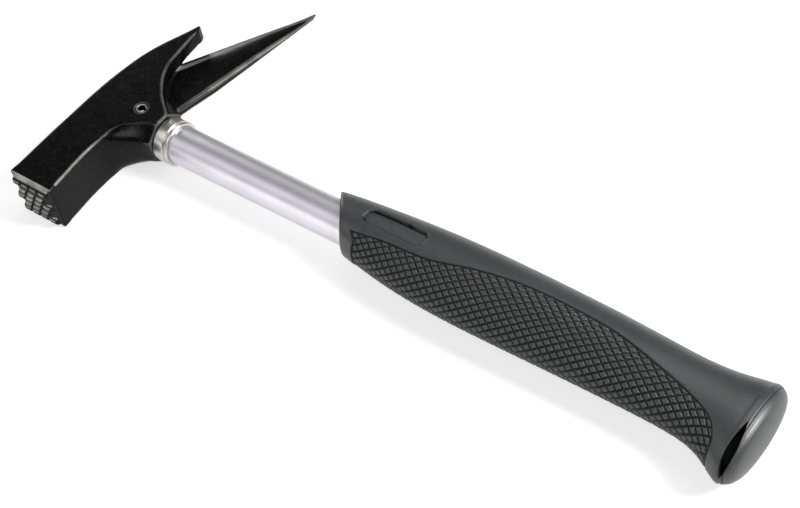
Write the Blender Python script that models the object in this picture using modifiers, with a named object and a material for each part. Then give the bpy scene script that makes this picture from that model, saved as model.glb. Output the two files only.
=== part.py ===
"""Roofer's lath hammer: forged head, tubular steel shaft, moulded rubber grip.

The hammer lies on its side.  +X runs along the shaft from the head to the butt,
+Y runs through the head from the striking face to the spike, and +Z is up,
square to the cheeks.  The origin is on the cheek that the hammer lies on,
straight below the point where the shaft's axis crosses the head's axis.
"""
import math

import bmesh
import bpy

for old in list(bpy.data.objects):
    bpy.data.objects.remove(old)

MM = 0.001
GAP = 0.3 * MM                    # clearance between pieces that touch

# Head
HALF_THICK = 13.8 * MM            # cheek to the middle plane
CHEEK_EDGE = 0.9 * MM             # broken edge round the cheeks
FACE_Y = -66.0 * MM               # ground of the striking face
FACE_HALF_X = 8.6 * MM            # half the ground's width between its facets
FACE_HALF_Z = 8.2 * MM
FACET_X = 5.5 * MM                # each facet's run in X, in Z and along the neck
FACET_Z = 5.6 * MM
FACET_DEPTH = 2.1 * MM
TOOTH_HEIGHT = 1.5 * MM
TOOTH_ROOT = (2.6 * MM, 1.9 * MM)  # half sizes of a tooth in X and Z, at its root
TOOTH_TIP = (2.1 * MM, 1.0 * MM)
TOOTH_PITCH_X = 6.0 * MM
TOOTH_PITCH_Z = 4.75 * MM
TINE_LOW = 5.2 * MM               # lower side of the claw's tine, above the middle plane
SOCKET_END = 31.5 * MM            # mouth of the socket
SOCKET_BOTTOM = -6.3 * MM
BLEND_START = 12.0 * MM           # where the socket's boss leaves the flat cheeks
SPIKE_TIP = (42.6, 106.6)         # X and Y in mm
SPIKE_LOW = (-13.0, 0.518)        # near edge of the upper face: X in mm at Y 0, and its slope
SPIKE_HIGH = (24.0, 0.197)        # far edge, towards the grip
SPIKE_END_SLOPE = 0.3             # how steeply the far edge turns in to the tip
SPIKE_BACK = 107.0                # mm along Y, where the spike's taper runs out
SPIKE_ROOT = 20.0                 # mm along Y, where the taper starts
SPIKE_RISE = 5.0                  # mm that the spike's upper face falls over the taper

# Shaft
TUBE_R = 10.0 * MM
TUBE_WALL = 1.5 * MM
TUBE_END = 357.7 * MM
CORE_END = 46.0 * MM              # wooden dowel inside the head end of the tube
COLLAR_R = 11.7 * MM
COLLAR_END = 40.8 * MM
PIN_X = 16.3 * MM
PIN_Y = 1.2 * MM
PIN_R = 3.0 * MM
PIN_WALL = 1.1 * MM
PIN_SLOT = math.radians(38)       # open angle of the slotted spring pin
PLUG_SHANK = 14.0 * MM
PLUG_FLANGE = 2.0 * MM

# Grip
GRIP_SLANT = 0.7                  # slope of the front edge, X lost for each Y
GRIP_BOW = 0.007                  # per mm, how much the front edge curves towards the head
GRIP_FRONT = 146.1                # mm along X, where the slanted front crosses the axis
SLANT_FADE = 45.0                 # mm over which the rings behind it turn square
BUTT_SLANT = 0.035                # slope of the butt's end face
FLARE_START = 350.0               # mm along X, where the butt starts to flare
BUTT_X = 372.9                    # mm along X

STEPS = 48                        # facets round a turned piece


def new_collection(name):
    collection = bpy.data.collections.new(name)
    bpy.context.scene.collection.children.link(collection)
    return collection


def principled(name, colour, roughness, metallic):
    """Material with one Principled BSDF; the colour is linear RGB."""
    material = bpy.data.materials.new(name)
    material.use_nodes = True
    shader = material.node_tree.nodes["Principled BSDF"]
    shader.inputs["Base Color"].default_value = (*colour, 1.0)
    shader.inputs["Roughness"].default_value = roughness
    shader.inputs["Metallic"].default_value = metallic
    material.diffuse_color = (*colour, 1.0)
    return material


def add_object(name, mesh, collection):
    obj = bpy.data.objects.new(name, mesh)
    collection.objects.link(obj)
    return obj


def add_cutter(name, mesh):
    cutter = add_object(name, mesh, CUTTERS)
    cutter.hide_render = True
    cutter.display_type = "WIRE"
    return cutter


def boolean(obj, other, operation):
    modifier = obj.modifiers.new(f"{operation.lower()} {other.name}", "BOOLEAN")
    modifier.object = other
    modifier.operation = operation
    modifier.solver = "EXACT"


def bevel(obj, width, segments=2, angle=math.radians(40)):
    modifier = obj.modifiers.new("edges", "BEVEL")
    modifier.width = width
    modifier.segments = segments
    modifier.limit_method = "ANGLE"
    modifier.angle_limit = angle


def lay_along_x(obj):
    """Turns a piece made about its own Z axis so that it lies along the shaft."""
    obj.rotation_euler = (0.0, math.pi / 2, 0.0)


def turned_mesh(name, profile, closed):
    """Profile of (radius, height) points, from the highest down the outer side."""
    mesh = bpy.data.meshes.new(name)
    edges = [(i, i + 1) for i in range(len(profile) - 1)]
    if closed:
        edges.append((len(profile) - 1, 0))
    mesh.from_pydata([(r, 0.0, z) for r, z in profile], edges, [])
    return mesh


def turn(obj, steps=STEPS):
    screw = obj.modifiers.new("turn", "SCREW")
    screw.steps = steps
    screw.render_steps = steps
    screw.use_merge_vertices = True
    screw.merge_threshold = 0.00002
    screw.use_smooth_shade = True


def plate_mesh(name, points, half_thickness):
    """Flat outline in the XY plane, (x, y, kind) in mm, extruded both ways."""
    curve = bpy.data.curves.new(name, "CURVE")
    curve.dimensions = "2D"
    curve.fill_mode = "BOTH"
    curve.extrude = half_thickness
    curve.resolution_u = 7
    spline = curve.splines.new("BEZIER")
    spline.bezier_points.add(len(points) - 1)
    spline.use_cyclic_u = True
    for knot, (x, y, kind) in zip(spline.bezier_points, points):
        knot.co = (x * MM, y * MM, 0.0)
        handle = "VECTOR" if kind == "corner" else "AUTO"
        knot.handle_left_type = handle
        knot.handle_right_type = handle
    guide = add_object(name, curve, CUTTERS)
    bpy.context.view_layer.update()
    evaluated = guide.evaluated_get(bpy.context.evaluated_depsgraph_get())
    mesh = bpy.data.meshes.new_from_object(evaluated)
    bpy.data.objects.remove(guide)
    bpy.data.curves.remove(curve)
    weld = bmesh.new()
    weld.from_mesh(mesh)
    bmesh.ops.remove_doubles(weld, verts=weld.verts, dist=0.00002)
    bmesh.ops.dissolve_limit(weld, angle_limit=math.radians(1), verts=weld.verts, edges=weld.edges)
    bmesh.ops.recalc_face_normals(weld, faces=weld.faces)
    weld.to_mesh(mesh)
    weld.free()
    return mesh


def loft_mesh(name, rings):
    """Closed skin through rings that have the same number of points."""
    build = bmesh.new()
    loops = [[build.verts.new(point) for point in ring] for ring in rings]
    count = len(loops[0])
    for first, second in zip(loops, loops[1:]):
        for i in range(count):
            j = (i + 1) % count
            build.faces.new((first[i], first[j], second[j], second[i]))
    build.faces.new(loops[0])
    build.faces.new(loops[-1])
    bmesh.ops.recalc_face_normals(build, faces=build.faces)
    mesh = bpy.data.meshes.new(name)
    build.to_mesh(mesh)
    build.free()
    return mesh


def cylinder_mesh(name, radius, length, steps=STEPS):
    build = bmesh.new()
    bmesh.ops.create_cone(build, cap_ends=True, segments=steps, radius1=radius, radius2=radius,
                          depth=length)
    mesh = bpy.data.meshes.new(name)
    build.to_mesh(mesh)
    build.free()
    return mesh


def curve_through(knots, t):
    """Values at t of a smooth curve through knots of (t, value, value, ...)."""
    last = len(knots) - 1
    i = max(k for k in range(last) if k == 0 or knots[k][0] <= t)
    before, start, end, after = (knots[min(max(k, 0), last)] for k in (i - 1, i, i + 1, i + 2))
    span = end[0] - start[0]
    u = (t - start[0]) / span
    values = []
    for v0, v1, v2, v3 in list(zip(before, start, end, after))[1:]:
        leaving = (v2 - v0) / (end[0] - before[0]) * span
        arriving = (v3 - v1) / (after[0] - start[0]) * span
        values.append((v1 * (1 + 2 * u) + leaving * u) * (1 - u) ** 2
                      + (v2 * (3 - 2 * u) - arriving * (1 - u)) * u * u)
    return values


# ---------------------------------------------------------------- head

# Cheek outline, from the crown corner of the striking face round to the tine,
# down the nail notch to the socket's mouth and back along the neck.
CHEEK = [(-14.2, -66.0, "corner"), (-14.4, -22, "smooth"), (-12.6, 16, "smooth"),
         (-7.8, 38, "smooth"), (3.0, 60.8, "corner"), (4.9, 57.2, "corner"),
         (6.2, 43, "smooth"), (8.4, 29.5, "smooth"), (17.6, 15.8, "smooth"),
         (31.2, 4.6, "corner"), (31.2, -2.6, "corner"), (21.8, -8.7, "smooth"),
         (14.6, -15.4, "smooth"), (12.6, -24, "smooth"), (14.1, -66.0, "corner")]
# Below the tine the body is cut back along the slope of the spike.
UNDER_TINE = [(-20.0, -9.0, "corner"), (-1.0, 25.5, "corner"), (8.4, 27.5, "corner"),
              (16.0, 40.0, "corner"), (16.0, 70.0, "corner"), (-20.0, 70.0, "corner")]


def neck_blend_mesh():
    """Eight-sided boss that runs from the flat cheeks out to the socket's mouth.

    It is fuller on the striking side, where it swells into the neck's underside.
    """
    top = HALF_THICK - 0.4 * MM
    last = 7
    rings = []
    for step in range(last + 1):
        t = step / last
        ease = (1 - t) ** 1.5
        x = BLEND_START + (SOCKET_END - BLEND_START) * t
        flat = (3.8 + 13.5 * ease) * MM
        shoulder = (6.2 + 5.5 * ease) * MM
        spike_side = (11.9 + 6.0 * ease) * MM
        striking_side = (11.9 + 13.5 * ease) * MM
        rings.append([(x, spike_side, shoulder), (x, flat, top),
                      (x, -flat, top), (x, -striking_side, shoulder),
                      (x, -striking_side, -shoulder), (x, -flat, -top),
                      (x, flat, -top), (x, spike_side, -shoulder)])
    return loft_mesh("neck_blend", rings)


def spike_mesh():
    """Straight-tapered point with a flat upper face and a keeled underside."""
    rings = []
    for y in (8, 22, 36, 60, 84, 97, 102, SPIKE_TIP[1]):
        size = min(1.0, max(0.08, (110 - y) / 74))
        low_x = SPIKE_LOW[0] + SPIKE_LOW[1] * y
        high_x = min(SPIKE_HIGH[0] + SPIKE_HIGH[1] * y,
                     SPIKE_TIP[0] + SPIKE_END_SLOPE * (SPIKE_TIP[1] - y))
        span = high_x - low_x
        top = 1.0 + SPIKE_RISE * min(1.0, (SPIKE_BACK - y) / (SPIKE_BACK - SPIKE_ROOT))
        ring = [(low_x, top), (high_x, top),
                (high_x + 1.4 * size, top - 1.5 * size),
                (high_x + 1.4 * size, top - 4.4 * size),
                (high_x - 0.32 * span, top - 11.5 * size),
                (low_x + 0.22 * span, top - 11.5 * size),
                (low_x - 4.8 * size, top - 4.6 * size),
                (low_x - 4.8 * size, top - 1.0 * size)]
        rings.append([(x * MM, y * MM, z * MM) for x, z in ring])
    return loft_mesh("spike", rings)


def facets_mesh():
    """Space kept when the striking face's four facets are cut."""
    def ring(x, y, z):
        return [(-x, y, -z), (x, y, -z), (x, y, z), (-x, y, z)]
    return loft_mesh("face_facets", [
        ring(FACE_HALF_X, FACE_Y, FACE_HALF_Z),
        ring(FACE_HALF_X + 2 * FACET_X, FACE_Y + 2 * FACET_DEPTH, FACE_HALF_Z + 2 * FACET_Z),
        ring(80 * MM, 150 * MM, 60 * MM)])


def tooth_mesh(x, z):
    """Blunt pyramid; the outer teeth are lower, as the facets run under them."""
    outer = max(abs(x) - FACE_HALF_X, abs(z) - FACE_HALF_Z, 0.0)
    tip_y = FACE_Y - TOOTH_HEIGHT + 0.5 * outer
    root_y = FACE_Y + FACET_DEPTH * 0.8

    def rectangle(half, y):
        half_x, half_z = half
        return [(x - half_x, y, z - half_z), (x + half_x, y, z - half_z),
                (x + half_x, y, z + half_z), (x - half_x, y, z + half_z)]
    return loft_mesh("tooth", [rectangle(TOOTH_ROOT, root_y), rectangle(TOOTH_ROOT, FACE_Y),
                               rectangle(TOOTH_TIP, tip_y)])


def tooth_places():
    """Five rows across the thickness, every other row shifted by half a pitch."""
    for row in range(-2, 3):
        columns = (-1.5, -0.5, 0.5, 1.5) if row % 2 == 0 else (-1, 0, 1)
        for column in columns:
            yield column * TOOTH_PITCH_X, row * TOOTH_PITCH_Z


def make_head():
    head = add_object("head", plate_mesh("head", CHEEK, HALF_THICK), PARTS)
    bevel(head, CHEEK_EDGE)

    depth = 2 * HALF_THICK
    under_tine = add_cutter("under_tine", plate_mesh("under_tine", UNDER_TINE, depth))
    under_tine.location.z = TINE_LOW - depth
    boolean(head, under_tine, "DIFFERENCE")
    boolean(head, add_cutter("spike", spike_mesh()), "UNION")
    boolean(head, add_cutter("neck_blend", neck_blend_mesh()), "UNION")
    boolean(head, add_cutter("face_facets", facets_mesh()), "INTERSECT")
    for i, (x, z) in enumerate(tooth_places()):
        boolean(head, add_cutter(f"tooth_{i}", tooth_mesh(x, z)), "UNION")

    length = SOCKET_END - SOCKET_BOTTOM + 2 * MM
    socket = add_cutter("socket", cylinder_mesh("socket", TUBE_R + GAP, length))
    socket.location.x = SOCKET_BOTTOM + length / 2
    lay_along_x(socket)
    boolean(head, socket, "DIFFERENCE")
    boolean(head, PIN_HOLE, "DIFFERENCE")
    return head


# ---------------------------------------------------------------- shaft

def make_tube():
    inner = TUBE_R - TUBE_WALL
    start = SOCKET_BOTTOM + GAP
    profile = [(TUBE_R, TUBE_END), (TUBE_R, start), (inner, start), (inner, TUBE_END)]
    tube = add_object("shaft_tube", turned_mesh("shaft_tube", profile, True), PARTS)
    turn(tube)
    lay_along_x(tube)
    boolean(tube, PIN_HOLE, "DIFFERENCE")
    return tube


def make_core():
    radius = TUBE_R - TUBE_WALL - GAP
    start = SOCKET_BOTTOM + GAP
    core = add_object("shaft_core", cylinder_mesh("shaft_core", radius, CORE_END - start), PARTS)
    core.location.x = (CORE_END + start) / 2
    lay_along_x(core)
    boolean(core, PIN_HOLE, "DIFFERENCE")
    return core


def make_end_plug():
    shank = TUBE_R - TUBE_WALL - GAP
    seat = TUBE_END + GAP
    profile = [(0.0, seat + PLUG_FLANGE), (TUBE_R - 0.5 * MM, seat + PLUG_FLANGE),
               (TUBE_R, seat + PLUG_FLANGE - 0.5 * MM), (TUBE_R, seat), (shank, seat),
               (shank, seat - PLUG_SHANK + MM), (shank - MM, seat - PLUG_SHANK),
               (0.0, seat - PLUG_SHANK)]
    plug = add_object("end_plug", turned_mesh("end_plug", profile, False), PARTS)
    turn(plug)
    lay_along_x(plug)
    return plug


def make_collar():
    """Ring with a barrel, a groove and a rounded lip towards the grip."""
    bore = TUBE_R + GAP
    start = SOCKET_END + GAP
    lip_r = 1.1 * MM
    lip = [(COLLAR_R - lip_r + lip_r * math.cos(a), COLLAR_END - lip_r + lip_r * math.sin(a))
           for a in (math.radians(d) for d in (90, 60, 30, 0, -30, -60))]
    groove_x = COLLAR_END - 2 * lip_r
    profile = [(bore, COLLAR_END)] + lip + [
        (COLLAR_R - 0.7 * MM, groove_x - 0.1 * MM), (COLLAR_R - 0.7 * MM, groove_x - 0.4 * MM),
        (COLLAR_R - 0.1 * MM, groove_x - 0.8 * MM), (COLLAR_R, groove_x - 2.4 * MM),
        (COLLAR_R, start + 0.8 * MM), (COLLAR_R - 0.5 * MM, start), (bore, start)]
    collar = add_object("collar", turned_mesh("collar", profile, True), PARTS)
    turn(collar)
    lay_along_x(collar)
    return collar


def make_pin():
    """Slotted spring pin, a C in section, just below flush with both cheeks."""
    build = bmesh.new()
    half = HALF_THICK - 0.4 * MM
    steps = 20
    angles = [PIN_SLOT / 2 + (2 * math.pi - PIN_SLOT) * i / steps for i in range(steps + 1)]
    inner = PIN_R - PIN_WALL
    outline = [(PIN_R * math.cos(a), PIN_R * math.sin(a)) for a in angles]
    outline += [(inner * math.cos(a), inner * math.sin(a)) for a in reversed(angles)]
    base = build.faces.new([build.verts.new((x, y, -half)) for x, y in outline])
    extruded = bmesh.ops.extrude_face_region(build, geom=[base])["geom"]
    top = [v for v in extruded if isinstance(v, bmesh.types.BMVert)]
    bmesh.ops.translate(build, verts=top, vec=(0.0, 0.0, 2 * half))
    bmesh.ops.recalc_face_normals(build, faces=build.faces)
    mesh = bpy.data.meshes.new("cross_pin")
    build.to_mesh(mesh)
    build.free()
    pin = add_object("cross_pin", mesh, PARTS)
    pin.location = (PIN_X, PIN_Y, 0.0)
    return pin


# ---------------------------------------------------------------- grip

# The grip's sections where its form turns: X, half width in Y, offset in Y and half
# thickness in Z.  Smooth curves run through them.
GRIP_SECTIONS = [(140, 13.0, 0.0, 12.2), (160, 16.3, 0.0, 12.9), (190, 19.7, -0.2, 13.3),
                 (225, 21.0, -0.2, 13.4), (290, 20.0, -0.3, 13.1), (335, 19.0, -1.7, 12.5),
                 (350, 21.0, -2.5, 12.8), (365, 27.1, -5.5, 13.8), (375, 27.4, -5.8, 13.8)]
# The domed end: how far the section has shrunk at each X.
END_SCALE = [(365, 1.0), (367.2, 0.985), (369.1, 0.94), (370.7, 0.83), (371.9, 0.62),
             (372.5, 0.36)]


def grip_ring(x, scale=1.0, count=STEPS):
    half_y, offset, half_z = (value * MM for value in curve_through(GRIP_SECTIONS, x))
    half_y *= scale
    half_z *= scale
    front = max(0.0, 1 - (x - GRIP_FRONT) / SLANT_FADE) ** 1.5
    butt = max(0.0, x - FLARE_START) / (BUTT_X - FLARE_START)
    slant = GRIP_SLANT * front + BUTT_SLANT * butt
    ring = []
    for i in range(count):
        angle = 2 * math.pi * i / count
        y = half_y * math.cos(angle)
        bow = GRIP_BOW * front * y * y / MM
        ring.append((x * MM - slant * y - bow, y + offset, half_z * math.sin(angle)))
    return ring


def make_grip():
    rings = [grip_ring(GRIP_FRONT, 0.95), grip_ring(GRIP_FRONT + 0.4, 0.985),
             grip_ring(GRIP_FRONT + 1.4)]
    rings += [grip_ring(x) for x in (154, 160, 168, 181, 192, 204, 225, 248, 269, 290, 311,
                                     323, 331, 342, 350, 354, 358, 360.5, 363)]
    rings += [grip_ring(x, scale) for x, scale in END_SCALE]
    tip = grip_ring(BUTT_X, 0.12)
    grip = add_object("grip", loft_mesh("grip", rings + [tip]), PARTS)
    bore_end = TUBE_END + 2 * GAP + PLUG_FLANGE
    bore_start = (GRIP_FRONT - 20) * MM
    length = bore_end - bore_start
    bore = add_cutter("grip_bore", cylinder_mesh("grip_bore", TUBE_R + GAP, length))
    bore.location.x = bore_start + length / 2
    lay_along_x(bore)
    boolean(grip, bore, "DIFFERENCE")
    return grip


# ---------------------------------------------------------------- assembly

PARTS = new_collection("lath_hammer")
CUTTERS = new_collection("cutters")

PIN_HOLE = add_cutter("pin_hole", cylinder_mesh("pin_hole", PIN_R + GAP, 4 * HALF_THICK, 24))
PIN_HOLE.location = (PIN_X, PIN_Y, 0.0)

FINISH = {
    "head": principled("black_paint", (0.014, 0.014, 0.015), 0.42, 0.0),
    "collar": principled("polished_steel", (0.72, 0.70, 0.68), 0.12, 1.0),
    "shaft_tube": principled("satin_steel", (0.66, 0.65, 0.70), 0.34, 1.0),
    "cross_pin": principled("blackened_steel", (0.10, 0.10, 0.10), 0.35, 1.0),
    "shaft_core": principled("beech", (0.50, 0.33, 0.18), 0.6, 0.0),
    "end_plug": principled("nylon", (0.70, 0.68, 0.62), 0.5, 0.0),
    "grip": principled("grip_rubber", (0.045, 0.046, 0.048), 0.62, 0.0),
}

axis = bpy.data.objects.new("shaft_axis", None)
axis.location.z = HALF_THICK
PARTS.objects.link(axis)

for make in (make_head, make_collar, make_tube, make_pin, make_core, make_end_plug, make_grip):
    piece = make()
    piece.data.materials.clear()
    piece.data.materials.append(FINISH[piece.name])
for obj in list(PARTS.objects) + list(CUTTERS.objects):
    if obj is not axis:
        obj.parent = axis
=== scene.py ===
"""Looks of the lath hammer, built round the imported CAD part.

Lengths are in metres in the row frame unless a name or a comment says mm.  +X runs
along the shaft from the head to the butt, +Y from the striking face to the spike.
"""
import math

import bmesh
import bpy
import numpy as np
from mathutils import Matrix, Vector
from mathutils.bvhtree import BVHTree


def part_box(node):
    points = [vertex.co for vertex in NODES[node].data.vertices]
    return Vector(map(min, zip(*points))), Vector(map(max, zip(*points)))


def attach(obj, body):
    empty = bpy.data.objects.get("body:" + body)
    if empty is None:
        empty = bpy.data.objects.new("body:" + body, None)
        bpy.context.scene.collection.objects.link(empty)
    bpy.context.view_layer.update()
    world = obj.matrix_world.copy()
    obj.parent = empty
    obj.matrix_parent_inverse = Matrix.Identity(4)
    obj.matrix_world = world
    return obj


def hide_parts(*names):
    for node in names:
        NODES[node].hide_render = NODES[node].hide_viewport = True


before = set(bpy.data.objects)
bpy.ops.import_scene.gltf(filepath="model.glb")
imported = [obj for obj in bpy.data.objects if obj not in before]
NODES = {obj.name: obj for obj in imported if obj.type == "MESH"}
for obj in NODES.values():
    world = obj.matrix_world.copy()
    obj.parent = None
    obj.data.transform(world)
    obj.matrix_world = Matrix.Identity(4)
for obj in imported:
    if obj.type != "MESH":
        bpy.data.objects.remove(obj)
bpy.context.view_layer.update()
MM = 0.001

TUBE_LOW, TUBE_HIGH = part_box("shaft_tube")
TUBE_R = (TUBE_HIGH.z - TUBE_LOW.z) / 2
AXIS_Z = (TUBE_HIGH.z + TUBE_LOW.z) / 2
COLLAR_LOW, COLLAR_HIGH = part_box("collar")
PIN_LOW, PIN_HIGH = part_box("cross_pin")
HEAD_LOW, HEAD_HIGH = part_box("head")


# ---------------------------------------------------------------- helpers

def smoothstep(low, high, value):
    t = np.clip((value - low) / (high - low), 0.0, 1.0)
    return t * t * (3 - 2 * t)


def new_object(name, mesh):
    obj = bpy.data.objects.new(name, mesh)
    bpy.context.scene.collection.objects.link(obj)
    return obj


def finish_piece(obj, node, material):
    """The piece stands in for a CAD node, which it hides, and takes the given material on the root
    body.
    """
    obj.data.materials.clear()
    obj.data.materials.append(material)
    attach(obj, "root")
    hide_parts(node)


def weld_points(mesh, distance):
    """Merges points that lie closer together than the distance."""
    weld = bmesh.new()
    weld.from_mesh(mesh)
    bmesh.ops.remove_doubles(weld, verts=weld.verts, dist=distance)
    weld.to_mesh(mesh)
    weld.free()


def face_outwards(mesh):
    """Turns every face of a closed mesh outwards."""
    fix = bmesh.new()
    fix.from_mesh(mesh)
    bmesh.ops.recalc_face_normals(fix, faces=fix.faces)
    fix.to_mesh(mesh)
    fix.free()


def store(mesh, name, values):
    """Keeps one number for each point under a name that a material can read."""
    mesh.attributes.new(name, "FLOAT", "POINT").data.foreach_set("value", values)


def grid_mesh(name, rings, start_cap, end_cap):
    """Closed skin through rings, an array of (rings, points, 3)."""
    count = rings.shape[1]
    points = rings.reshape(-1, 3)
    first = np.arange(rings.shape[0] - 1)[:, None] * count
    column = np.arange(count)[None, :]
    here = first + column
    right = first + (column + 1) % count
    faces = np.stack([here, right, right + count, here + count], -1).reshape(-1, 4).tolist()
    last = (rings.shape[0] - 1) * count
    if start_cap:
        faces.append(list(range(count))[::-1])
    if end_cap:
        faces.append([last + i for i in range(count)])
    mesh = bpy.data.meshes.new(name)
    mesh.from_pydata(points.tolist(), [], faces)
    mesh.update()
    face_outwards(mesh)
    mesh.shade_smooth()
    return mesh


def turned_object(name, profile, steps=160):
    """Closed profile of (x, radius) turned about the shaft's axis."""
    angles = np.linspace(0, 2 * math.pi, steps, endpoint=False)
    rings = np.array([[(x, r * math.cos(a), AXIS_Z + r * math.sin(a)) for a in angles]
                      for x, r in profile + profile[:1]])
    mesh = grid_mesh(name, rings, False, False)
    weld_points(mesh, 1e-7)
    face_outwards(mesh)
    mesh.shade_smooth()
    mesh.set_sharp_from_angle(angle=math.radians(40))
    return new_object(name, mesh)


def arc(centre, radius, start, end, count):
    """Points (x, radius) along an arc; angles in degrees."""
    return [(centre[0] + radius * math.cos(math.radians(a)),
             centre[1] + radius * math.sin(math.radians(a)))
            for a in np.linspace(start, end, count)]


# ---------------------------------------------------------------- materials

class Shader:
    """A material with a Principled BSDF and short calls for its nodes."""

    def __init__(self, name, colour, roughness, metallic, specular=0.5):
        self.material = bpy.data.materials.new(name)
        self.material.use_nodes = True
        self.tree = self.material.node_tree
        self.out = self.tree.nodes["Principled BSDF"]
        self.out.inputs["Base Color"].default_value = (*colour, 1)
        self.out.inputs["Roughness"].default_value = roughness
        self.out.inputs["Metallic"].default_value = metallic
        self.out.inputs["Specular IOR Level"].default_value = specular
        self.material.diffuse_color = (*colour, 1)
        self.place = self.tree.nodes.new("ShaderNodeNewGeometry").outputs["Position"]

    def link(self, source, target):
        self.tree.links.new(source, target)

    def noise(self, scale, detail=3.0, rough=0.5, stretch=None):
        place = self.place
        if stretch:
            mapping = self.tree.nodes.new("ShaderNodeMapping")
            mapping.inputs["Scale"].default_value = stretch
            self.link(place, mapping.inputs["Vector"])
            place = mapping.outputs["Vector"]
        node = self.tree.nodes.new("ShaderNodeTexNoise")
        node.inputs["Scale"].default_value = scale
        node.inputs["Detail"].default_value = detail
        node.inputs["Roughness"].default_value = rough
        self.link(place, node.inputs["Vector"])
        return node.outputs["Fac"]

    def ramp(self, source, stops):
        """Colour ramp through (position, colour) stops."""
        node = self.tree.nodes.new("ShaderNodeValToRGB")
        elements = node.color_ramp.elements
        while len(elements) < len(stops):
            elements.new(0.5)
        for element, (position, colour) in zip(elements, stops):
            element.position = position
            element.color = (*colour, 1)
        self.link(source, node.inputs["Fac"])
        return node.outputs["Color"]

    def remap(self, source, from_low, from_high, to_low, to_high):
        node = self.tree.nodes.new("ShaderNodeMapRange")
        for key, value in (("From Min", from_low), ("From Max", from_high),
                           ("To Min", to_low), ("To Max", to_high)):
            node.inputs[key].default_value = value
        self.link(source, node.inputs["Value"])
        return node.outputs["Result"]

    def combine(self, operation, first, second):
        node = self.tree.nodes.new("ShaderNodeMath")
        node.operation = operation
        self.link(first, node.inputs[0])
        self.link(second, node.inputs[1])
        return node.outputs[0]

    def add(self, first, second):
        return self.combine("ADD", first, second)

    def times(self, first, second):
        return self.combine("MULTIPLY", first, second)

    def value(self, attribute):
        """A number stored on the mesh's points."""
        node = self.tree.nodes.new("ShaderNodeAttribute")
        node.attribute_name = attribute
        return node.outputs["Fac"]

    def mix(self, factor, first, second):
        """Blend of two colours, each a socket or an (r, g, b)."""
        node = self.tree.nodes.new("ShaderNodeMix")
        node.data_type = "RGBA"
        self.link(factor, node.inputs["Factor"])
        for socket, colour in ((node.inputs[6], first), (node.inputs[7], second)):
            if isinstance(colour, tuple):
                socket.default_value = (*colour, 1)
            else:
                self.link(colour, socket)
        return node.outputs[2]

    def bump(self, height, strength, distance):
        node = self.tree.nodes.new("ShaderNodeBump")
        node.inputs["Strength"].default_value = strength
        node.inputs["Distance"].default_value = distance
        self.link(height, node.inputs["Height"])
        self.link(node.outputs["Normal"], self.out.inputs["Normal"])

    def colour(self, source):
        self.link(source, self.out.inputs["Base Color"])

    def roughness(self, source):
        self.link(source, self.out.inputs["Roughness"])

    def metallic(self, source):
        self.link(source, self.out.inputs["Metallic"])


def black_paint():
    """Black baked paint over a forged skin, rubbed thin on the edges and off the face, with painted
    highlights as pale metal along the edges, the spike and the face's facets and teeth.
    """
    paint = Shader("black_paint", (0.003, 0.003, 0.0033), 0.24, 0.0, specular=0.12)
    grain = paint.noise(1500, detail=2.0, rough=0.6)
    scale_marks = paint.noise(190, detail=4.0)
    patches = paint.remap(paint.noise(110, detail=3.0), 0.35, 0.60, 0.45, 1.0)
    wear_and_highlight = paint.times(paint.value("wear_and_highlight"), patches)
    black = paint.ramp(grain, [(0.40, (0.001, 0.001, 0.001)), (0.60, (0.002, 0.002, 0.002)),
                               (0.80, (0.026, 0.027, 0.027))])
    # Pale metal for rubbed paint, and for the painted highlights along the edges, the spike and the
    # face's facets and teeth.
    paint.colour(paint.mix(wear_and_highlight, black, (0.40, 0.40, 0.39)))
    paint.metallic(wear_and_highlight)
    gloss = paint.remap(scale_marks, 0.3, 0.7, 0.20, 0.27)
    paint.roughness(paint.add(gloss, paint.remap(wear_and_highlight, 0.0, 0.3, 0.0, 0.20)))
    paint.bump(paint.add(grain, scale_marks), 0.12, 0.00003)
    return paint.material


def satin_steel():
    """Satin plated tube, brushed round its circumference."""
    steel = Shader("satin_steel", (0.64, 0.62, 0.665), 0.44, 1.0)
    lines = steel.noise(1.0, detail=4.0, stretch=(2600, 60, 60))
    cloud = steel.noise(60, detail=2.0)
    steel.colour(steel.ramp(cloud, [(0.3, (0.62, 0.60, 0.65)), (0.7, (0.66, 0.645, 0.685))]))
    steel.roughness(steel.remap(lines, 0.3, 0.7, 0.40, 0.48))
    steel.bump(lines, 0.08, 0.00002)
    return steel.material


def polished_steel():
    """Turned and polished ring: fine lines show in its gloss, not in its form."""
    steel = Shader("polished_steel", (0.56, 0.53, 0.505), 0.34, 1.0)
    lines = steel.noise(1.0, detail=2.0, stretch=(900, 40, 40))
    steel.roughness(steel.remap(lines, 0.3, 0.7, 0.31, 0.38))
    return steel.material


def pin_steel():
    """Grey steel, with painted shade, nearly black, in the pin's bore."""
    steel = Shader("pin_steel", (0.30, 0.30, 0.29), 0.38, 1.0)
    grain = steel.noise(900, detail=3.0)
    bright = steel.ramp(grain, [(0.35, (0.26, 0.26, 0.26)), (0.7, (0.50, 0.50, 0.48))])
    steel.colour(steel.mix(steel.value("painted_shade"), bright, (0.004, 0.004, 0.004)))
    steel.bump(grain, 0.1, 0.00003)
    return steel.material


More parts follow.
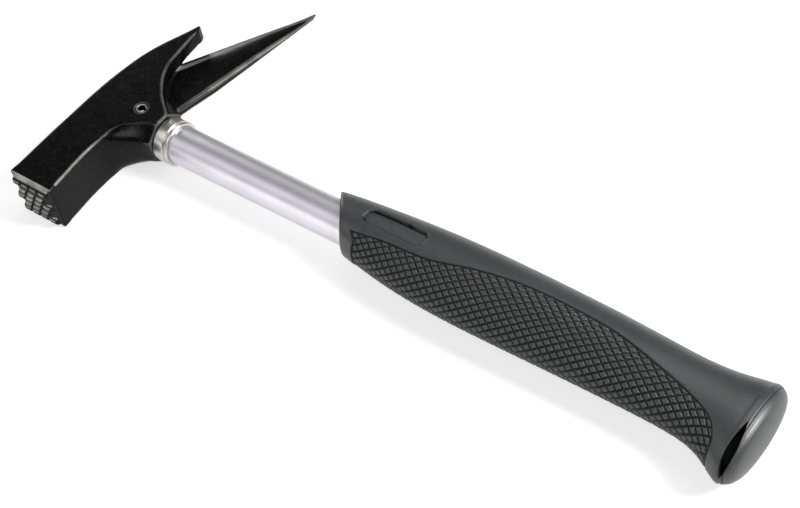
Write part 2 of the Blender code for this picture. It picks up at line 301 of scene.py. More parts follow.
def grip_rubber():
    """Moulded rubber: fine grain, a faint bloom in its gloss, and painted shade in its hollows."""
    rubber = Shader("grip_rubber", (0.014, 0.0145, 0.015), 0.42, 0.0, specular=0.62)
    grain = rubber.noise(1700, detail=2.0, rough=0.65)
    bloom = rubber.noise(35, detail=4.0)
    plain = rubber.ramp(grain, [(0.3, (0.012, 0.0125, 0.0135)), (0.7, (0.034, 0.035, 0.036))])
    # Painted shade: near black in the grooves, the plate's foot and the butt's pocket; made metallic
    # over that black, it also loses its gloss.
    painted_shade = rubber.value("painted_shade")
    rubber.colour(rubber.mix(painted_shade, plain, (0.003, 0.003, 0.003)))
    skin = rubber.remap(bloom, 0.3, 0.7, 0.38, 0.45)
    rubber.roughness(rubber.add(skin, rubber.remap(painted_shade, 0.0, 1.0, 0.0, 0.2)))
    rubber.metallic(rubber.remap(painted_shade, 0.0, 1.0, 0.0, 0.95))
    rubber.bump(grain, 0.45, 0.00005)
    return rubber.material


def beech():
    """Dowel wood with its grain along the shaft."""
    wood = Shader("beech", (0.50, 0.33, 0.18), 0.6, 0.0)
    grain = wood.noise(1.0, detail=4.0, stretch=(60, 900, 900))
    wood.colour(wood.ramp(grain, [(0.3, (0.36, 0.22, 0.11)), (0.7, (0.58, 0.40, 0.23))]))
    wood.bump(grain, 0.2, 0.0001)
    return wood.material


def nylon():
    plastic = Shader("nylon", (0.70, 0.68, 0.62), 0.5, 0.0)
    plastic.roughness(plastic.remap(plastic.noise(700), 0.3, 0.7, 0.45, 0.58))
    return plastic.material


# ---------------------------------------------------------------- head

HEAD_VOXEL = 0.40 * MM
EDGE_ROUNDS = 18                   # smoothing passes that break the forged edges
NECK_ROUNDS = 320                  # passes that flow the neck into the socket's boss
FACE_KEEP_Y = HEAD_LOW.y + 6 * MM  # the milled face and its facets stay crisp
TINE_TIP = (3.6 * MM, 59.6 * MM)   # X and Y of the claw's point
TINE_LOSS = 1.2 * MM               # what the point loses to the remeshing
# Both edges of the spike's upper face, as Y and X in mm.
SPIKE_LOW_EDGE = [(24.0, -0.6), (106.6, 42.3)]
SPIKE_HIGH_EDGE = [(24.0, 29.6), (97.0, 44.0), (106.6, 43.0)]
SPIKE_CROWN = 0.05                 # rise of the face's crown, as a share of its width
CROWN_POWER = 2.5                  # over 2, the crown is flatter in its middle
SPIKE_ROOT = (22, 36)              # Y in mm over which the spike leaves the head
BEHIND_CLAW = (40, 62)             # Y in mm over which the crown rises
# How far the paint gives way to pale metal, from 0 to 1.
EDGE_WEAR_AND_HIGHLIGHT = 0.16                   # on a forged edge: rubbed paint and painted highlight
SPIKE_HIGHLIGHT = 0.22                  # painted highlight, in bands along both edges of the spike's upper face
FACET_WEAR_AND_HIGHLIGHT = 0.85                  # on the ground facets round the striking face, only where they face up to the light: partly painted highlight
CREST_WEAR_AND_HIGHLIGHT = 0.9                   # on the crests of the teeth, only where they face up to the light: partly painted highlight
# More of it, as a share of the above.
BY_FACE_WEAR_AND_HIGHLIGHT = 2.0                 # added on the forged edges near the striking face
BY_CLAW_HIGHLIGHT = 0.7                 # painted highlight added on the spike's lower band beside the claw, in the claw's shadow
HIGH_BAND_HIGHLIGHT = 1.1               # painted highlight on the spike's upper band against its lower one
HEAD_MIDDLE = (HEAD_LOW.z + HEAD_HIGH.z) / 2
HEAD_HALF = (HEAD_HIGH.z - HEAD_LOW.z) / 2


def make_head(material):
    """The CAD head with its hard edges rounded like a forging under paint."""
    head = new_object("hammer_head", NODES["head"].data.copy())
    weld_points(head.data, 1e-6)
    remesh = head.modifiers.new("skin", "REMESH")
    remesh.mode = "VOXEL"
    remesh.voxel_size = HEAD_VOXEL
    mesh = applied(head)
    edges = np.zeros(len(mesh.edges) * 2, np.int32)
    mesh.edges.foreach_get("vertices", edges)
    edges = edges.reshape(-1, 2)
    sharp = vertex_array(mesh)
    crowned = crowned_spike(sharp)
    broken = relaxed(crowned, edges, forged_weight(sharp), EDGE_ROUNDS)
    points = relaxed(broken, edges, neck_weight(sharp), NECK_ROUNDS)
    points[:, 1] += TINE_LOSS * tine_share(sharp)
    points = np.clip(points, np.array(HEAD_LOW), np.array(HEAD_HIGH))
    mesh.vertices.foreach_set("co", points.ravel())
    mesh.update()
    normals = np.zeros(len(points) * 3)
    mesh.vertices.foreach_get("normal", normals)
    store(mesh, "wear_and_highlight", head_wear_and_highlight(crowned, broken, normals.reshape(-1, 3)))
    mesh.shade_smooth()
    finish_piece(head, "head", material)


def relaxed(points, edges, weights, rounds):
    """Points drawn towards their neighbours' mean, each by its own weight."""
    moving = weights > 0
    edges = edges[moving[edges].any(1)]
    known = np.unique(edges)
    place = np.zeros(len(points), int)
    place[known] = np.arange(len(known))
    first, second = place[edges].T
    local, share = points[known], 0.5 * weights[known, None]
    count = np.bincount(np.concatenate([first, second]), minlength=len(known))[:, None]
    for _ in range(rounds):
        near = np.stack([np.bincount(first, local[second, axis], len(known))
                         + np.bincount(second, local[first, axis], len(known))
                         for axis in range(3)], -1)
        local = local + share * (near / count - local)
    points = points.copy()
    points[known] = local
    return points


def forged_weight(points):
    """1 where edges are broken; 0 on the milled face and at the two points."""
    x, y, _z = points.T
    tine = smoothstep(1.5 * MM, 7 * MM, np.hypot(x - TINE_TIP[0], y - TINE_TIP[1]))
    spike = smoothstep(HEAD_HIGH.y - 1 * MM, HEAD_HIGH.y - 9 * MM, y)
    return smoothstep(FACE_KEEP_Y, FACE_KEEP_Y + 3 * MM, y) * tine * spike


def tine_share(points):
    """Rises to 1 at the claw's point."""
    x, y, z = points.T
    return (smoothstep(46 * MM, 59 * MM, y) * smoothstep(12 * MM, 8 * MM, x)
            * smoothstep(HEAD_MIDDLE + 3.5 * MM, HEAD_MIDDLE + 5 * MM, z))


def neck_weight(points):
    """1 on both sides of the neck, fading before the cheeks and the socket's mouth."""
    x, y, z = points.T
    along = smoothstep(8.5 * MM, 12.5 * MM, x) * smoothstep(29.5 * MM, 21 * MM, x)
    across = smoothstep(-42 * MM, -28 * MM, y) * smoothstep(1 * MM, -6 * MM, y)
    return along * across * smoothstep(HEAD_HALF - 0.9 * MM, HEAD_HALF - 3.5 * MM,
                                       np.abs(z - HEAD_MIDDLE))


def spike_edges(y):
    """X of the lower and the upper edge of the spike's face at each Y, all in mm."""
    return np.interp(y, *zip(*SPIKE_LOW_EDGE)), np.interp(y, *zip(*SPIKE_HIGH_EDGE))


def crowned_spike(points):
    """The points with the spike's flat upper face raised to a shallow crown."""
    x, y, z = points.T / MM
    low, high = spike_edges(y)
    width = high - low
    share = np.clip((2 * x - low - high) / width, -1, 1)
    middle = HEAD_MIDDLE / MM
    body = smoothstep(*SPIKE_ROOT, y) * smoothstep(middle, middle + 1, z)
    rise = SPIKE_CROWN * width * (1 - np.abs(share) ** CROWN_POWER)
    raised = points.copy()
    raised[:, 2] += body * smoothstep(*BEHIND_CLAW, y) * rise * MM
    raised[:, 2] = np.clip(raised[:, 2], HEAD_LOW.z, HEAD_HIGH.z)
    return raised


def head_wear_and_highlight(sharp, broken, normals):
    """0 for whole paint, 1 for bare steel, at each point of the head; the bare steel is rubbed paint in
    part and painted highlight in part.

    sharp and broken are the same points before and after the edges are broken, so the
    way between them shows where an edge is.
    """
    x, y, z = broken.T
    drawn_in = ((sharp - broken) * normals).sum(1)
    # Forged edges: rubbed paint, and along them painted highlight.
    edges = EDGE_WEAR_AND_HIGHLIGHT * smoothstep(0.03 * MM, 0.18 * MM, drawn_in) * (y > FACE_KEEP_Y)
    edges *= smoothstep(0.15, 0.0, neck_weight(sharp))
    edges *= 1 + BY_FACE_WEAR_AND_HIGHLIGHT * smoothstep(-24 * MM, -36 * MM, y)
    # Painted highlight in bands along both edges of the spike's upper face, made stronger beside the
    # claw where the claw's shadow falls on the lower band.
    low_edge, high_edge = (edge * MM for edge in spike_edges(y / MM))
    upper = (z > HEAD_MIDDLE) & (z < HEAD_MIDDLE + 7.5 * MM) & (normals[:, 2] > 0.3)
    spike = smoothstep(30 * MM, 36 * MM, y) * upper
    low_band = smoothstep(1.9 * MM, 1.1 * MM, np.abs(x - low_edge - 1.0 * MM))
    high_band = smoothstep(2.6 * MM, 1.2 * MM, high_edge - x)
    low_band *= 1 + BY_CLAW_HIGHLIGHT * smoothstep(60 * MM, 52 * MM, y)
    bands = np.maximum(low_band, HIGH_BAND_HIGHLIGHT * high_band)
    edges = np.maximum(edges, SPIKE_HIGHLIGHT * spike * bands)
    # The ground facets and the teeth's crests go bare only on faces that point up towards the light, so
    # they are partly painted highlight.
    facing_up = smoothstep(0.15, 0.4, normals[:, 2]) * smoothstep(-0.1, -0.25, normals[:, 1])
    ground = HEAD_LOW.y + 1.5 * MM
    facet = smoothstep(FACE_KEEP_Y, FACE_KEEP_Y - 1.5 * MM, y) * (y > ground)
    crest = smoothstep(ground - 0.4 * MM, ground - 0.8 * MM, y)
    return np.maximum(edges, facing_up * np.maximum(FACET_WEAR_AND_HIGHLIGHT * facet, CREST_WEAR_AND_HIGHLIGHT * crest))


def applied(obj):
    """Applies the object's modifiers and returns its new mesh."""
    bpy.context.view_layer.update()
    evaluated = obj.evaluated_get(bpy.context.evaluated_depsgraph_get())
    mesh = bpy.data.meshes.new_from_object(evaluated)
    old = obj.data
    obj.modifiers.clear()
    obj.data = mesh
    bpy.data.meshes.remove(old)
    return mesh


def vertex_array(mesh):
    points = np.zeros(len(mesh.vertices) * 3)
    mesh.vertices.foreach_get("co", points)
    return points.reshape(-1, 3)


# ---------------------------------------------------------------- pin, collar, tube

PIN_SLOT = math.radians(38)        # angle that the slot leaves open
PIN_WALL = 1.15 * MM
PIN_EDGE = 0.25 * MM               # bevel of both ends
TUBE_WALL = 1.5 * MM
TUBE_EDGE = 0.3 * MM


def make_pin(material):
    """Slotted spring pin with bevelled ends, and painted shade in its bore."""
    centre = (PIN_LOW + PIN_HIGH) / 2
    radius = (PIN_HIGH.y - PIN_LOW.y) / 2
    inner, edge = radius - PIN_WALL, PIN_EDGE
    low, high = PIN_LOW.z, PIN_HIGH.z
    section = [(inner, low + edge), (inner + edge, low), (radius - edge, low), (radius, low + edge),
               (radius, high - edge), (radius - edge, high), (inner + edge, high), (inner, high - edge)]
    turns = np.linspace(PIN_SLOT / 2, 2 * math.pi - PIN_SLOT / 2, 56)
    rings = np.array([[(centre.x + r * math.cos(a), centre.y + r * math.sin(a), z)
                       for r, z in section] for a in turns])
    mesh = grid_mesh("spring_pin", rings, True, True)
    # Painted shade: full on the bore, a little on its bevels.
    store(mesh, "painted_shade", [1.0, 0.2, 0.0, 0.0, 0.0, 0.0, 0.2, 1.0] * len(turns))
    mesh.set_sharp_from_angle(angle=math.radians(50))
    pin = new_object("spring_pin", mesh)
    finish_piece(pin, "cross_pin", material)


def make_collar(material):
    """Polished collar: barrel, groove, and a rounded lip towards the grip."""
    radius = (COLLAR_HIGH.z - COLLAR_LOW.z) / 2
    start, end = COLLAR_LOW.x, COLLAR_HIGH.x
    bore = TUBE_R + 0.12 * MM
    lip = 1.1 * MM                 # radius of the lip
    edge = 0.5 * MM                # radius of the barrel's edges
    groove, sunk = 0.3 * MM, 0.55 * MM
    lip_foot = end - 2 * lip - 0.15 * MM
    profile = [(end, bore)]
    profile += arc((end - lip, radius - lip), lip, 0, 150, 14)
    profile += arc((lip_foot - 0.25 * MM, radius - sunk), groove, -20, -160, 7)
    profile += arc((lip_foot - 1.1 * MM, radius - edge), edge, 20, 90, 6)
    profile += arc((start + edge, radius - edge), edge, 90, 180, 7)
    profile += [(start, bore)]
    collar = turned_object("shaft_collar", profile)
    finish_piece(collar, "collar", material)


def make_tube(material):
    """Drawn tube with a wall, both ends lightly chamfered."""
    start, end = TUBE_LOW.x, TUBE_HIGH.x
    inner, edge = TUBE_R - TUBE_WALL, TUBE_EDGE
    profile = [(end, inner), (end, TUBE_R - edge), (end - edge, TUBE_R),
               (start + edge, TUBE_R), (start, TUBE_R - edge), (start, inner)]
    tube = turned_object("steel_tube", profile, steps=192)
    finish_piece(tube, "shaft_tube", material)


# ---------------------------------------------------------------- grip

# Lengths in this section are in mm.
SLANT = 0.7                        # the front edge runs back by this for each mm of Y
FRONT_X = 146.1                    # where the front edge crosses the shaft's axis
FRONT_BOW = 0.007                  # per mm, how much the front edge curves towards the head
SQUARE_X = 176.0                   # rows behind this stand square to the shaft
SLANTED_ROWS = 64                  # rows from the front edge to the first square one
FINE_END_X = 358.2                 # the fine rows end here, behind the panel
FLARE_ROWS = 12                    # rows from there to the rim
RIM_X = 363.0                      # widest ring of the flared butt
KNURL_PITCH = 3.2                  # across the grooves
KNURL_ANGLE = math.radians(53.5)   # of the line square to the grooves, from X
KNURL_DEPTH = 0.95
PAD_DISH = 0.20                    # share of the depth by which a diamond's middle sinks
PANEL_DROP = 0.06                  # how far the whole panel lies under the smooth rubber
FRONT_DROP = 0.30                  # and how much more in its front part
BORDER_DEPTH = 0.60                # groove that follows the panel's outline
BORDER_PLACE, BORDER_WIDTH = 0.10, 0.38
STEP = 14                          # rows and columns to one diamond
ROW = KNURL_PITCH / math.cos(KNURL_ANGLE) / STEP
COLUMN = KNURL_PITCH / math.sin(KNURL_ANGLE) / STEP
FINE_REACH = 33.0                  # fine columns to each side of the striking side's crest
FINE_COLUMNS = int(FINE_REACH / COLUMN)
COARSE_COLUMNS = 46
HALF_TURN_STEPS = 1200             # steps in which half a section's line is measured
FAR_OUTSIDE = -50.0                # distance given to points that can't be in the panel

# Upper edge of the knurled panel: X, and how far round from the top of the grip.
PANEL_EDGE = [(158, 7), (180, 6), (203, 4.3), (223, -1), (245, -5), (270, -5.7), (295, -4.3),
              (318, 0.3), (338, 5.2), (351, 10), (356, 16), (357, 20)]
PANEL_BACK_X = 163.2               # the panel's left end on the crest
PLATE = (159.3, 193.8, -8.4, 1.6)  # blank plate: X from, to; round from the top, from, to
PLATE_CORNER = 2.4
PLATE_DEPTH = 1.3
# How much painted shade the hollows get, from 0 to 1.
GROOVE_SHADE = 0.8
PLATE_FOOT_SHADE = 0.95
LINE_SHADE = 0.8

# The front edge is slanted, so the sections are only measured behind these X, on the
# striking side and at the top.  Before them they are carried on along a slope.
SIDE_FROM_X = 158
TOP_FROM_X = 149
MIDDLE_FROM_X = 175                # before this the middle runs over to the shaft's axis,
MIDDLE_RUN = 25                    # in this length
FRONT_TAPER = 0.05                 # loss of half thickness for each mm before TOP_FROM_X


def measured_sections():
    """Half widths to +Y and -Y, middle and half thickness of the CAD grip along X."""
    mesh = NODES["grip"].data
    tree = BVHTree.FromPolygons([v.co for v in mesh.vertices],
                                [list(p.vertices) for p in mesh.polygons])
    far = 0.1

    def reach(x, direction, y=0.0):
        """Where a ray from outside meets the grip, on its way to (x, y) at the axis' height."""
        dx, dy, dz = direction
        origin = Vector((x * MM - dx * far, y * MM - dy * far, AXIS_Z - dz * far))
        return tree.ray_cast(origin, Vector(direction))[0]

    xs = np.arange(138.0, 366.1, 1.0)
    right, left, depth = [], [], []
    for x in xs:
        hit = reach(x, (0, -1, 0))
        right.append(hit.y / MM)
        hit = reach(x, (0, 1, 0))
        left.append(-hit.y / MM if hit and hit.y < 0 else np.nan)
    right = np.array(right)
    left = np.array(left)
    seen = (xs >= SIDE_FROM_X) & np.isfinite(left)
    slope = (left[seen][8] - left[seen][0]) / 8
    left[~seen] = left[seen][0] - slope * (xs[seen][0] - xs[~seen])
    middle = (right - left) / 2
    front = xs < MIDDLE_FROM_X
    share = np.clip((xs[front] - MIDDLE_FROM_X + MIDDLE_RUN) / MIDDLE_RUN, 0, 1)
    middle[front] = middle[~front][0] * share
    for x, y in zip(xs, middle):
        hit = reach(x, (0, 0, -1), y if x > MIDDLE_FROM_X else 0.0)
        depth.append((hit.z - AXIS_Z) / MM if hit and x >= TOP_FROM_X else np.nan)
    depth = np.array(depth)
    seen = np.isfinite(depth)
    depth[~seen] = depth[seen][0] - FRONT_TAPER * (xs[seen][0] - xs[~seen])
    return xs, [smoothed(values) for values in (right - middle, left + middle, middle, depth)]


def smoothed(values, width=4.0):
    """Gaussian smoothing of evenly spaced values, which keeps the ends' slopes."""
    reach = int(3 * width)
    kernel = np.exp(-0.5 * (np.arange(-reach, reach + 1) / width) ** 2)
    kernel /= kernel.sum()
    before = 2 * values[0] - values[reach:0:-1]
    after = 2 * values[-1] - values[-2:-reach - 2:-1]
    return np.convolve(np.concatenate([before, values, after]), kernel, "valid")


SECTION_X, (SECTION_RIGHT, SECTION_LEFT, SECTION_MIDDLE, SECTION_DEPTH) = measured_sections()


def section_at(x):
    """Half width to +Y, half width to -Y, middle and half thickness at X."""
    return [np.interp(x, SECTION_X, values) for values in
            (SECTION_RIGHT, SECTION_LEFT, SECTION_MIDDLE, SECTION_DEPTH)]


def turn_points(x, turn):
    """(y, z) at angles measured from the crest of the striking side, over the top."""
    right, left, middle, depth = section_at(x)
    side = np.cos(turn)
    y = middle - np.where(side > 0, left, right) * side
    return y, depth * np.sin(turn)


def catmull(points, count):
    """Smooth curve through the points, count steps to each span."""
    points = np.array(points, float)
    padded = np.vstack([2 * points[0] - points[1], points, 2 * points[-1] - points[-2]])
    out = []
    for i in range(1, len(padded) - 2):
        a, b, c, d = padded[i - 1:i + 3]
        t = np.linspace(0, 1, count, endpoint=False)[:, None]
        out.append(0.5 * (2 * b + (c - a) * t + (2 * a - 5 * b + 4 * c - d) * t ** 2
                          + (3 * b - a - 3 * c + d) * t ** 3))
    return np.vstack(out + [points[-1:]])


def quarter_length(x):
    """Length of the section's line from the crest of the striking side to the top."""
    turns = np.linspace(0, math.pi / 2, 200)
    y, z = turn_points(np.full_like(turns, x), turns)
    return np.hypot(np.diff(y), np.diff(z)).sum()


def panel_outline():
    """Closed outline of the knurled panel in (x, distance round from the crest)."""
    edge = catmull(PANEL_EDGE, 9)
    upper = np.array([(x, quarter_length(x) - down) for x, down in edge])
    upper = np.vstack([[(PANEL_BACK_X, 0.0)], [(PANEL_BACK_X - 1.2, 9.5)], upper,
                       [(PANEL_EDGE[-1][0] + 0.6, 0.0)]])
    lower = upper[1:-1][::-1] * (1, -1)
    return np.vstack([upper, lower])


PANEL_OUTLINE = panel_outline()


def signed_distance(points, outline):
    """Distance to a closed outline, positive inside it."""
    best = np.full(len(points), 1e9)
    inside = np.zeros(len(points), bool)
    for a, b in zip(outline, np.roll(outline, -1, axis=0)):
        run = b - a
        t = np.clip(((points - a) @ run) / (run @ run), 0, 1)
        best = np.minimum(best, np.hypot(*(points - a - t[:, None] * run).T))
        crosses = (a[1] > points[:, 1]) != (b[1] > points[:, 1])
        if run[1]:
            crosses &= points[:, 0] < a[0] + run[0] * (points[:, 1] - a[1]) / run[1]
        inside ^= crosses
    return np.where(inside, best, -best)


def groove_distance(x, round_crest):
    """Distance to the middle of the nearest knurl groove."""
    along = x * math.cos(KNURL_ANGLE)
    across = round_crest * math.sin(KNURL_ANGLE)
    nearest = np.full(len(x), 1e9)
    for phase in (along + across, along - across):
        part = np.mod(phase / KNURL_PITCH, 1.0)
        nearest = np.minimum(nearest, np.minimum(part, 1 - part) * KNURL_PITCH)
    return nearest


def plate_distance(x, round_top):
    """Distance inwards from the outline of the blank plate."""
    x0, x1, low, high = PLATE
    left, right, up, down = x - x0, x1 - x, round_top - low, high - round_top
    corners = np.minimum.reduce([left + up, left + down, right + up, right + down])
    chamfer = (corners - PLATE_CORNER) / math.sqrt(2)
    return np.minimum(np.minimum.reduce([left, right, up, down]), chamfer)


def relief(x, round_crest, round_top):
    """Height of the moulded surface over the smooth section in mm, and how much painted shade it gets.
    """
    near = np.abs(round_crest) < FINE_REACH + 1
    inside = np.full(len(x), FAR_OUTSIDE)
    inside[near] = signed_distance(np.stack([x[near], round_crest[near]], -1), PANEL_OUTLINE)
    groove = groove_distance(x, round_crest)
    pad = smoothstep(0.05, 0.80, groove) - PAD_DISH * smoothstep(0.85, 1.50, groove)
    knurled = smoothstep(0.35, 0.75, inside)
    border = np.exp(-((inside - BORDER_PLACE) / BORDER_WIDTH) ** 2)
    height = knurled * KNURL_DEPTH * (pad - 1)
    drop = FRONT_DROP * smoothstep(215, 185, x) + PANEL_DROP
    height -= smoothstep(-0.1, 0.45, inside) * drop
    height -= BORDER_DEPTH * border
    plate = plate_distance(x, round_top)
    height -= PLATE_DEPTH * smoothstep(0.0, 0.30, plate)
    # Painted shade in the knurl's grooves, along the panel's border groove, round the plate's foot and
    # along its upper wall, where a shadow falls.
    painted_shade = knurled * GROOVE_SHADE * smoothstep(0.50, 0.12, groove)
    foot = PLATE_FOOT_SHADE * np.exp(-((plate - 0.35) / 0.42) ** 2)
    upper_wall = smoothstep(-0.2, 0.1, plate) * smoothstep(1.5, 0.9, round_top - PLATE[2])
    return height, np.maximum.reduce([painted_shade, border, foot, upper_wall])


def grip_columns(x):
    """Angles of one row's columns: fine over the panel, coarse over the smooth side."""
    turns = np.linspace(-math.pi, math.pi, 2 * HALF_TURN_STEPS + 1)
    y, z = turn_points(np.full_like(turns, x), turns)
    run = np.concatenate([[0], np.cumsum(np.hypot(np.diff(y), np.diff(z)))])
    crest = run[HALF_TURN_STEPS]
    fine = np.arange(-FINE_COLUMNS, FINE_COLUMNS + 1) * COLUMN
    rest = run[-1] - 2 * FINE_COLUMNS * COLUMN
    coarse = FINE_COLUMNS * COLUMN + rest * np.arange(1, COARSE_COLUMNS) / COARSE_COLUMNS
    place = np.concatenate([fine, coarse])
    wrapped = np.where(place + crest > run[-1], place - run[-1], place) + crest
    turn = np.interp(wrapped, run, turns)
    top = np.interp(math.pi / 2, turns, run) - crest
    round_crest = wrapped - crest
    return turn, round_crest, top - round_crest


def grip_rows():
    """X of each square row, from behind the slanted front to the butt's rim."""
    fine = np.arange(math.ceil(SQUARE_X / ROW), int(FINE_END_X / ROW) + 1) * ROW
    flare = np.linspace(fine[-1] + 0.5, RIM_X, FLARE_ROWS)
    return np.concatenate([fine, flare])


def outer_rows():
    """X, angle and both distances round of each row, from the front edge to the rim."""
    rows = []
    for x in grip_rows():
        turn, round_crest, round_top = grip_columns(x)
        rows.append((np.full_like(turn, x), turn, round_crest, round_top))
    square, turn, round_crest, round_top = rows[0]
    edge = slanted_front(turn)
    front = []
    for i in range(SLANTED_ROWS):
        share = (i / SLANTED_ROWS) ** 0.9
        front.append((edge + (square - edge) * share, turn, round_crest, round_top))
    return front + rows


def slanted_front(turn):
    """X of the grip's slanted front edge at each angle."""
    x = np.full_like(turn, FRONT_X)
    for _ in range(6):
        y, _z = turn_points(x, turn)
        x = front_edge(y)
    return x


def front_edge(y):
    """X of the front edge at each Y."""
    return FRONT_X - SLANT * y - FRONT_BOW * y * y


# The butt's end, from the rim to the middle: share of the rim's size and X.
BUTT_PROFILE = [(1.00, 363.0), (1.016, 364.8), (1.00, 366.6), (0.965, 368.0), (0.905, 369.6),
                (0.76, 371.3), (0.44, 372.5), (0.10, 372.85), (0.01, 372.85)]
LINE_SHARE = 0.985                 # where a fine groove parts the rim from the cap
LINE_DEPTH, LINE_WIDTH = 0.22, 0.006
LINE_FROM_X = 365.5
# A pocket between rim and cap, darkened with painted shade, on the upper part of the striking
# side and mirrored on the lower: its middle and half length in degrees, half width in X, and its depth.
POCKET_TURN, POCKET_REACH = 46.0, 37.0
POCKET_X, POCKET_HALF, POCKET_DEPTH = 366.2, 1.9, 3.6
POCKET_END_HALF = 0.2              # its half width where it runs out


def butt_rows(turn, rim):
    """Rings of the rolled rim and the domed cap, with the pocket between them, which gets painted shade
    like the fine groove.
    """
    y, z = rim
    middle = (y.max() + y.min()) / 2
    length = np.hypot(y - middle, z)
    away = np.minimum(np.abs(np.degrees(turn) - POCKET_TURN), np.abs(np.degrees(turn) + POCKET_TURN))
    pocket = np.clip(1 - (away / POCKET_REACH) ** 2, 0, 1)
    rows = []
    half = POCKET_END_HALF + POCKET_HALF * pocket
    for share, x in catmull(BUTT_PROFILE, 10)[1:]:
        inside = np.clip(1 - ((x - POCKET_X) / half) ** 2, 0, 1) * np.sqrt(pocket)
        line = np.exp(-((share - LINE_SHARE) / LINE_WIDTH) ** 2) * (x > LINE_FROM_X)
        depth = np.maximum(POCKET_DEPTH * smoothstep(0.0, 0.45, inside), LINE_DEPTH * line)
        size = share - depth / length
        # Painted shade in the pocket and in the fine groove.
        painted_shade = np.maximum(smoothstep(0.02, 0.12, inside), LINE_SHADE * line)
        rows.append((np.full_like(y, x), middle + (y - middle) * size, z * size, painted_shade))
    return rows


FLAT_ROWS = 4                      # first rows behind the front edge, without relief
MOUTH_SHARES = (0.0, 0.35, 0.7)    # rings of the front face, from the bore outwards
BORE_GAP = 0.08
BORE_END = 2.0                     # how far the bore runs past the tube's end


def make_grip(material):
    """Rubber sleeve: knurled panel, blank plate, rolled rim and domed butt."""
    rings = []
    rows = outer_rows()
    for number, (x, turn, round_crest, round_top) in enumerate(rows):
        y, z = turn_points(x, turn)
        right, left, _middle, depth = section_at(x)
        side = np.where(np.cos(turn) > 0, left, right)
        normal_y = -np.cos(turn) * depth
        normal_z = np.sin(turn) * side
        length = np.hypot(normal_y, normal_z)
        high, painted_shade = relief(x, round_crest, round_top)
        high = high * (number >= FLAT_ROWS) - front_rounding(number)
        rings.append((x, y + high * normal_y / length, z + high * normal_z / length, painted_shade))
    rings += butt_rows(turn, rings[-1][1:3])

    mouth = []
    bore = TUBE_R / MM + BORE_GAP
    _x, y, z, painted_shade = rings[0]
    radius = np.hypot(y, z)
    for share in MOUTH_SHARES:
        scale = (bore + (radius - bore) * share) / radius
        mouth.append((front_edge(y * scale), y * scale, z * scale, painted_shade))
    _x, y, z, painted_shade = mouth[0]
    bore_end = np.full_like(y, (TUBE_HIGH.x + BORE_END * MM) / MM)
    rings = [(bore_end, y, z, painted_shade)] + mouth + rings
    stack = np.array([np.stack([x, y, z + AXIS_Z / MM], -1) for x, y, z, _painted_shade in rings]) * MM
    mesh = grid_mesh("rubber_grip", stack, True, True)
    # Painted shade for the knurl's grooves, the plate and the butt's pocket.
    store(mesh, "painted_shade", np.concatenate([ring[3] for ring in rings]))
    grip = new_object("rubber_grip", mesh)
    finish_piece(grip, "grip", material)


def front_rounding(number):
    """How far the first rows behind the front edge sit inside the section."""
    return (0.50, 0.20, 0.05)[number] if number < 3 else 0.0


# ---------------------------------------------------------------- stage

FLOOR_HALF = 3.0
FLOOR_Z = -0.0003                  # a hair under the cheek on which the hammer rests
FLOOR_GLOW = 0.63
SKY_LIGHT = 0.10                   # strength of the world as a light
SKY_SEEN = 0.68                    # and as the camera's background
LIGHT_AIM = (0.18, 0.0, 0.0)

# Name, direction in which the light stands, distance, size and power.
LIGHTS = [
    ("main_right", (0.70, 0.36, 0.60), 1.3, (0.38, 0.46), 26),
    ("back_high", (-0.04, 0.50, 0.86), 1.3, (0.70, 0.70), 4.5),
    ("back_left", (-0.85, 0.46, 0.28), 1.3, (0.35, 0.35), 3.4),
    ("front_left", (-0.56, -0.80, 0.15), 1.3, (1.3, 0.4), 4.0),
    ("upper_left", (-0.56, -0.40, 0.72), 1.3, (0.7, 0.7), 2.4),
    ("above", (0.30, -0.58, 0.76), 1.4, (0.6, 0.6), 6),
]

CAMERA_TARGET = (0.1804, -0.0013, 0.0138)
CAMERA_ANGLES = (47.70, 49.40, 13.77)  # degrees round, above the floor, and of roll
CAMERA_DISTANCE = 0.8046
CAMERA_LENS = 78.36                # mm, on a sensor 36 mm wide


def make_floor():
    """White floor that glows enough to stay white under soft lights."""
    corners = [(-FLOOR_HALF, -FLOOR_HALF), (FLOOR_HALF, -FLOOR_HALF),
               (FLOOR_HALF, FLOOR_HALF), (-FLOOR_HALF, FLOOR_HALF)]
    mesh = bpy.data.meshes.new("floor")
    mesh.from_pydata([(x, y, FLOOR_Z) for x, y in corners], [], [(0, 1, 2, 3)])
    floor = new_object("floor", mesh)
    white = Shader("floor_white", (0.45, 0.45, 0.45), 0.9, 0.0, specular=0.0)
    white.out.inputs["Emission Color"].default_value = (1, 1, 1, 1)
    white.out.inputs["Emission Strength"].default_value = FLOOR_GLOW
    floor.data.materials.append(white.material)


def area_light(name, direction, distance, size, power):
    """Rectangular soft light that stands in the given direction from its aim."""
    data = bpy.data.lights.new(name, "AREA")
    data.shape = "RECTANGLE"
    data.size, data.size_y = size
    data.energy = power
    light = bpy.data.objects.new(name, data)
    bpy.context.scene.collection.objects.link(light)
    aim = Vector(LIGHT_AIM)
    light.location = aim + Vector(direction).normalized() * distance
    light.rotation_euler = (aim - light.location).to_track_quat("-Z", "Y").to_euler()


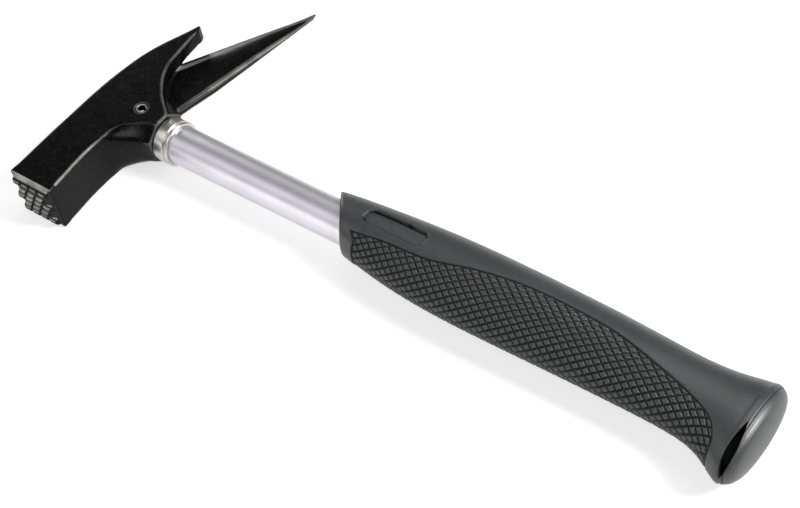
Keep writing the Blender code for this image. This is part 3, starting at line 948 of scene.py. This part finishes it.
def make_lights():
    """A dim world that the camera sees brighter than it shines, and the soft lights."""
    world = bpy.data.worlds.new("studio")
    world.use_nodes = True
    tree = world.node_tree
    sky = tree.nodes["Background"]
    backdrop = tree.nodes.new("ShaderNodeBackground")
    for shader, strength in ((sky, SKY_LIGHT), (backdrop, SKY_SEEN)):
        shader.inputs["Color"].default_value = (1.0, 1.0, 1.0, 1)
        shader.inputs["Strength"].default_value = strength
    seen = tree.nodes.new("ShaderNodeMixShader")
    path = tree.nodes.new("ShaderNodeLightPath")
    tree.links.new(path.outputs["Is Camera Ray"], seen.inputs[0])
    tree.links.new(sky.outputs[0], seen.inputs[1])
    tree.links.new(backdrop.outputs[0], seen.inputs[2])
    tree.links.new(seen.outputs[0], tree.nodes["World Output"].inputs["Surface"])
    bpy.context.scene.world = world
    for light in LIGHTS:
        area_light(*light)


def make_camera():
    """Camera at the viewing angle of the picture, with the hammer filling the frame."""
    azimuth, elevation, roll = (math.radians(a) for a in CAMERA_ANGLES)
    back = Vector((math.sin(azimuth) * math.cos(elevation),
                   -math.cos(azimuth) * math.cos(elevation), math.sin(elevation)))
    level = Vector((math.cos(azimuth), math.sin(azimuth), 0.0))
    up = back.cross(level)
    right = level * math.cos(roll) - up * math.sin(roll)
    up = back.cross(right)
    data = bpy.data.cameras.new("camera")
    data.lens = CAMERA_LENS
    data.sensor_width = 36.0
    data.clip_start = 0.01
    camera = bpy.data.objects.new("camera", data)
    bpy.context.scene.collection.objects.link(camera)
    place = Matrix((right, up, back)).transposed().to_4x4()
    place.translation = Vector(CAMERA_TARGET) + back * CAMERA_DISTANCE
    camera.matrix_world = place
    bpy.context.scene.camera = camera


# ---------------------------------------------------------------- the scene

make_head(black_paint())
make_pin(pin_steel())
make_collar(polished_steel())
make_tube(satin_steel())
make_grip(grip_rubber())
for node, material in (("shaft_core", beech()), ("end_plug", nylon())):
    NODES[node].data.materials.clear()
    NODES[node].data.materials.append(material)

make_floor()
make_lights()
make_camera()
bpy.context.scene.view_settings.view_transform = "Standard"
